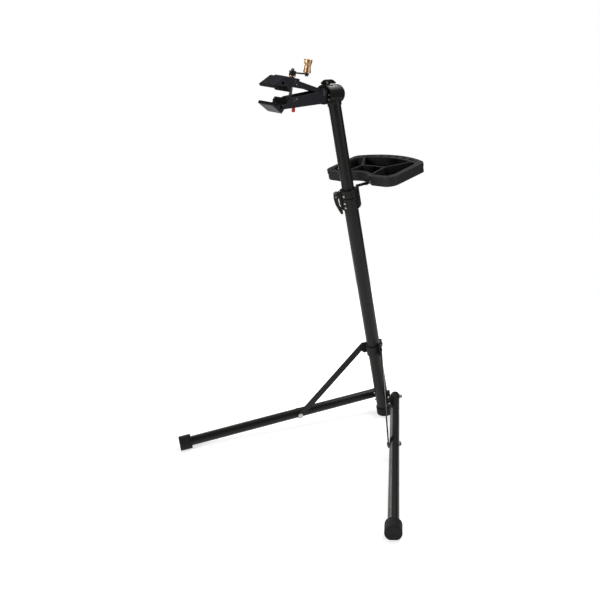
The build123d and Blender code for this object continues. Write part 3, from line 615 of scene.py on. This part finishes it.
def solids_of(node):
    """The vertices of each separate solid in a CAD node."""
    work = bmesh.new()
    work.from_mesh(frame["nodes"][node].data)
    bmesh.ops.remove_doubles(work, verts=work.verts, dist=0.01 * MM)
    waiting = set(work.verts)
    solids = []
    while waiting:
        reached = [waiting.pop()]
        for vert in reached:
            for edge in vert.link_edges:
                other = edge.other_vert(vert)
                if other in waiting:
                    waiting.discard(other)
                    reached.append(other)
        solids.append([vert.co.copy() for vert in reached])
    work.free()
    return solids


def seats_of(node, outward):
    """Seat, direction and size of the head on each solid of a CAD node; outward gives a solid's direction."""
    seats = []
    for points in solids_of(node):
        middle = sum(points, Vector()) / len(points)
        along = outward(middle).normalized()
        heights = [(point - middle).dot(along) for point in points]
        across = max(((point - middle) - along * (point - middle).dot(along)).length for point in points)
        low, high = min(heights), max(heights)
        seats.append((middle + along * low, along, (across, across, high - low)))
    return seats


# ---------------------------------------------------------------- operators
class STAND_OT_tubes(bpy.types.Operator):
    """Makes the mast's two tubes and the two leg tubes"""

    bl_idname = "stand.tubes"
    bl_label = "Tubes"

    def execute(self, context):
        lower, upper = (tube_outline(*tube, MAST_END_ROUNDING) for tube in (LOWER_MAST_TUBE, UPPER_MAST_TUBE))
        turned("lower_mast.look", lower, MAST, "mast_base", "coat", ["lower_mast_tube"], steps=128)
        turned("upper_mast.look", upper, MAST, "upper_mast", "coat", ["upper_mast_tube"], steps=128)
        for side in ("left", "right"):
            turned(side + "_leg.look", tube_outline(*LEG_TUBE), leg_frame(side), side + "_leg", "coat",
                   [side + "_leg_tube"])
        return {"FINISHED"}


class STAND_OT_base(bpy.types.Operator):
    """Makes the foot cap, the hub behind the mast and its hinge bolts"""

    bl_idname = "stand.base"
    bl_label = "Base and hub"

    def execute(self, context):
        edge = context.scene.stand_sizes.edge
        softened("mast_foot_cap", edge, "mast_base", "rubber")
        softened("leg_hub", edge, "mast_base", "coat")
        softened("leg_pivot_bolts", 0, "mast_base", "zinc")
        nuts, washers = [], []
        for side in ("left", "right"):
            hinge = outward_hinge(side)
            seat = joint_place(LEG_JOINTS[side]) + hinge * HINGE_WASHER_SEAT
            washers.append((seat, hinge, (HINGE_WASHER_R, HINGE_WASHER_R, HINGE_WASHER_THICK)))
            seat = seat + hinge * HINGE_WASHER_THICK
            nuts.append((seat, hinge, (HINGE_NUT_R, HINGE_NUT_R, HINGE_NUT_THICK)))
        grown("hinge_nuts.look", "hexagon_nuts", {"Stud": 0.53, "Stud Height": 0.66}, "mast_base", "zinc",
              ["leg_pivot_nuts"], nuts)
        grown("hinge_washers.look", "socket_screws", {"Socket": 0.4}, "mast_base", "zinc", [], washers)
        hub_screws = [
            (place, leg_frame("left" if place.x < 0 else "right").to_3x3() @ Vector((0, 0, 1)), size)
            for place, along, size in seats_of("leg_hub_screws", from_mast)
        ]
        grown("hub_screws.look", "socket_screws", {"Socket": 0.55}, "mast_base", "zinc", ["leg_hub_screws"],
              hub_screws)
        return {"FINISHED"}


class STAND_OT_collar(bpy.types.Operator):
    """Makes the sliding collar and its wing knob"""

    bl_idname = "stand.collar"
    bl_label = "Sliding collar"

    def execute(self, context):
        edge = context.scene.stand_sizes.edge
        softened("brace_collar", edge, "collar", "plastic")
        softened("collar_knob", edge, "knob", "plastic")
        return {"FINISHED"}


class STAND_OT_legs(bpy.types.Operator):
    """Makes the leg plugs, feet, braces and their fasteners"""

    bl_idname = "stand.legs"
    bl_label = "Legs and braces"

    def execute(self, context):
        sizes = context.scene.stand_sizes
        for side in ("left", "right"):
            softened(side + "_leg_plug", 0.3 * MM, side + "_leg", "plastic")
            softened(side + "_foot", 0.3 * MM, side + "_leg", "rubber")
            softened(side + "_brace", sizes.edge, side + "_strut", "coat")
            softened(side + "_brace_bolt", 0.3 * MM, side + "_leg", "zinc")
            rivets = seats_of(side + "_brace_rivet", lambda middle: outward_hinge(side))
            grown(side + "_rivet.look", "dome_rivets", {"Dome": 0.75}, side + "_strut", "dark_steel",
                  [side + "_brace_rivet"], rivets)
        return {"FINISHED"}


class STAND_OT_height_clamp(bpy.types.Operator):
    """Makes the height clamp, its cam lever and its screws"""

    bl_idname = "stand.height_clamp"
    bl_label = "Height clamp"

    def execute(self, context):
        edge = context.scene.stand_sizes.edge
        softened("height_clamp_body", edge, "mast_base", "casting")
        softened("height_clamp_ring", edge, "mast_base", "casting")
        softened("height_lever", edge, "cam_lever", "casting")
        softened("height_cam_pin", 0.3 * MM, "mast_base", "dark_steel")
        grown("height_screws.look", "socket_screws", {"Socket": 0.5}, "mast_base", "zinc",
              ["height_clamp_screws"], seats_of("height_clamp_screws", from_mast))
        return {"FINISHED"}


class STAND_OT_tray(bpy.types.Operator):
    """Makes the tool tray and its bracket"""

    bl_idname = "stand.tray"
    bl_label = "Tool tray"

    def execute(self, context):
        edge = context.scene.stand_sizes.edge
        softened("tool_tray", 1.2 * MM, "mast_base", "tray", segments=3)
        softened("tray_bracket", edge, "mast_base", "coat")
        softened("tray_bracket_screws", 0.3 * MM, "mast_base", "zinc")
        return {"FINISHED"}


class STAND_OT_head(bpy.types.Operator):
    """Makes the head, its quick-release lever and the toothed disc"""

    bl_idname = "stand.head"
    bl_label = "Head"

    def execute(self, context):
        sizes = context.scene.stand_sizes
        softened("head_housing", sizes.edge, "upper_mast", "casting")
        softened("head_bearing", 0.3 * MM, "upper_mast", "plastic")
        softened("head_lever", sizes.edge, "quick_release", "casting")
        softened("head_lever_pin", 0.3 * MM, "upper_mast", "zinc")
        tilted = Vector((sin(HEAD_SCREW_TILT), 0, cos(HEAD_SCREW_TILT)))
        grown("head_screws.look", "socket_screws", {"Socket": 0.5}, "upper_mast", "zinc", ["head_screws"],
              seats_of("head_screws", lambda middle: tilted))
        softened("index_disc", 0.4 * MM, "clamp_arm", "casting")
        grown("disc_screws.look", "socket_screws", {"Socket": 0.5}, "clamp_arm", "zinc", ["disc_screws"],
              seats_of("disc_screws", lambda middle: ARM_OUT))
        return {"FINISHED"}


class STAND_OT_arms(bpy.types.Operator):
    """Makes the two clamp arms and their bolts"""

    bl_idname = "stand.arms"
    bl_label = "Clamp arms"

    def execute(self, context):
        edge = context.scene.stand_sizes.edge
        softened("lower_arm", edge, "clamp_arm", "arms")
        softened("upper_arm", edge, "upper_jaw_arm", "arms")
        softened("jaw_hinge_pin", 0.4 * MM, "clamp_arm", "dark_steel")
        softened("jaw_hinge_nut", 0.4 * MM, "clamp_arm", "dark_steel")

        def sideways(middle):
            local = HEAD.inverted() @ middle
            return ARM_SIDE * (1 if local.x > 0 else -1)

        grown("lower_bolts.look", "socket_screws", {"Socket": 0.55}, "clamp_arm", "zinc",
              ["lower_arm_bolts"], seats_of("lower_arm_bolts", sideways))
        grown("upper_bolts.look", "socket_screws", {"Socket": 0.55}, "upper_jaw_arm", "zinc",
              ["upper_arm_bolts"], seats_of("upper_arm_bolts", sideways))
        return {"FINISHED"}


class STAND_OT_jaws(bpy.types.Operator):
    """Makes the two jaws and their rubber pads"""

    bl_idname = "stand.jaws"
    bl_label = "Jaws"

    def execute(self, context):
        edge = context.scene.stand_sizes.edge
        for level, body in (("lower", "clamp_arm"), ("upper", "upper_jaw_arm")):
            softened(level + "_jaw", edge, body, "arms")
            softened(level + "_jaw_pads", 0.5 * MM, body, "rubber")
        return {"FINISHED"}


class STAND_OT_clamp_screw(bpy.types.Operator):
    """Makes the clamp screw, its crank, its spool handle and the release button"""

    bl_idname = "stand.clamp_screw"
    bl_label = "Clamp screw and crank"

    def execute(self, context):
        sizes = context.scene.stand_sizes
        softened("screw_trunnion", 0.4 * MM, "swivel", "dark_steel")
        softened("barrel_nut", 0.4 * MM, "cross_nut", "dark_steel")
        threaded = {
            "Radius": THREAD_R, "Length": THREAD_LENGTH,
            "Depth": sizes.thread_depth, "Lead": sizes.thread_lead,
        }
        start = SPINDLE @ Matrix.Translation((0, 0, THREAD_START))
        grown("thread.look", "threaded_rod", threaded, "spindle", "dark_steel", [], (), start)
        neck = [(0, -2), (4.95, -2), (4.95, 27.6), (4.4, 28), (0, 28)]
        turned("screw_neck.look", neck, SPINDLE, "spindle", "dark_steel", ["clamp_screw"], steps=48)
        softened("thrust_washer", 0.4 * MM, "spindle", "brass")
        softened("crank_hub", 0.5 * MM, "spindle", "casting")
        softened("crank_arm", 0.5 * MM, "spindle", "coat")
        softened("crank_nut", 0.4 * MM, "spindle", "dark_steel")
        softened("handle_bolt", 0.4 * MM, "spindle", "dark_steel")
        packed = frame["nodes"]["spool_handle"].data.vertices
        low = min((HANDLE.inverted() @ vert.co).z for vert in packed) / MM
        outline = [(radius, low + height) for radius, height in spool_outline()]
        turned("spool_handle.look", outline, HANDLE, "handle", "brass", ["spool_handle"])
        softened("release_button", 0, "release", "button")
        return {"FINISHED"}


class STAND_OT_remaining(bpy.types.Operator):
    """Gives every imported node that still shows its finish"""

    bl_idname = "stand.remaining"
    bl_label = "Other nodes"

    def execute(self, context):
        for name, node in frame["nodes"].items():
            node.data.materials.clear()
            node.data.materials.append(finish(SLOT_FINISH[node_slot[name]]))
        return {"FINISHED"}


class STAND_OT_stage(bpy.types.Operator):
    """Makes the floor, the studio light and the camera"""

    bl_idname = "stand.stage"
    bl_label = "Stage"

    def execute(self, context):
        scene = context.scene
        material, tree, shader, place = begin_material("studio_floor", Roughness=0.9, Specular_IOR_Level=0.1)
        tint(tree, shader, noise(tree, place, 0.8), scene.stand_colours.floor, 0.01)
        shader.inputs["Emission Color"].default_value = (1, 1, 1, 1)
        shader.inputs["Emission Strength"].default_value = 0.5
        work = bmesh.new()
        bmesh.ops.create_circle(work, cap_ends=True, segments=96, radius=1.9)
        bmesh.ops.translate(work, verts=work.verts, vec=(0, -0.35, 0))
        mesh = bpy.data.meshes.new("floor")
        work.to_mesh(mesh)
        work.free()
        mesh.materials.append(material)
        floor = new_object("floor", mesh)

        world = bpy.data.worlds.new("studio")
        world.use_nodes = True
        tree = world.node_tree
        tree.nodes.clear()
        seen = add(tree, "ShaderNodeLightPath").outputs["Is Camera Ray"]
        shade = add(tree, "ShaderNodeMapRange", {"Value": seen, "To Min": 0.1, "To Max": 1.0}).outputs[0]
        glow = add(tree, "ShaderNodeBackground", {"Color": (1, 1, 1, 1), "Strength": shade}).outputs[0]
        add(tree, "ShaderNodeOutputWorld", {"Surface": glow})
        scene.world = world

        power = scene.stand_sizes.key_light
        boxes = (
            ("key", (-0.6, -3.2, 1.5), 0.7, 2.2, power), ("edge", (-2.9, 0.9, 1.5), 0.6, 2.2, power * 0.8),
            ("side", (3.0, 0.4, 1.5), 0.5, 2.2, power * 0.5), ("top", (0.3, 1.2, 3.4), 2.4, 1.4, power * 1.4),
        )
        for name, spot, wide, tall, watts in boxes:
            light = bpy.data.lights.new(name, "AREA")
            light.shape = "RECTANGLE"
            light.energy = watts
            light.size = wide
            light.size_y = tall
            lamp = bpy.data.objects.new(name, light)
            lamp.location = spot
            aim = Vector((0, -0.2, spot[2] if spot[2] < 2 else 0))
            lamp.rotation_euler = (aim - Vector(spot)).to_track_quat("-Z", "Y").to_euler()
            scene.collection.objects.link(lamp)

        lens = bpy.data.cameras.new("camera")
        lens.lens = 42.44
        lens.shift_x = -0.0652
        lens.shift_y = -0.0461
        camera = bpy.data.objects.new("camera", lens)
        right = Vector((0.7904, 0.6110, -0.0432))
        up = Vector((-0.1316, 0.2382, 0.9622))
        camera.matrix_world = placed(Vector((1.3187, -1.8888, 1.1709)), right.cross(up), right)
        scene.collection.objects.link(camera)
        scene.camera = camera
        scene.view_settings.view_transform = "Standard"
        return {"FINISHED"}


class STAND_PT_panel(bpy.types.Panel):
    """Lists the stand's settings and the steps that build it"""

    bl_idname = "STAND_PT_panel"
    bl_label = "Bicycle repair stand"
    bl_space_type = "VIEW_3D"
    bl_region_type = "UI"
    bl_category = "Stand"

    def draw(self, context):
        layout = self.layout
        for group in (context.scene.stand_colours, context.scene.stand_sizes):
            for key in group.__annotations__:
                layout.prop(group, key)
        for step in STEPS:
            layout.operator(step.bl_idname)


STEPS = (
    STAND_OT_stage, STAND_OT_tubes, STAND_OT_base, STAND_OT_collar, STAND_OT_legs, STAND_OT_height_clamp,
    STAND_OT_tray, STAND_OT_head, STAND_OT_arms, STAND_OT_jaws, STAND_OT_clamp_screw, STAND_OT_remaining,
)
CLASSES = (StandColours, StandSizes, *STEPS, STAND_PT_panel)


def register():
    """Registers the classes and the scene's settings."""
    for cls in CLASSES:
        bpy.utils.register_class(cls)
    bpy.types.Scene.stand_colours = bpy.props.PointerProperty(type=StandColours)
    bpy.types.Scene.stand_sizes = bpy.props.PointerProperty(type=StandSizes)


def unregister():
    """Removes the settings and the classes."""
    del bpy.types.Scene.stand_sizes
    del bpy.types.Scene.stand_colours
    for cls in reversed(CLASSES):
        bpy.utils.unregister_class(cls)


def main():
    """Builds the stand step by step."""
    register()
    for step in STEPS:
        group, action = step.bl_idname.split(".")
        getattr(getattr(bpy.ops, group), action)()


if __name__ == "__main__":
    main()
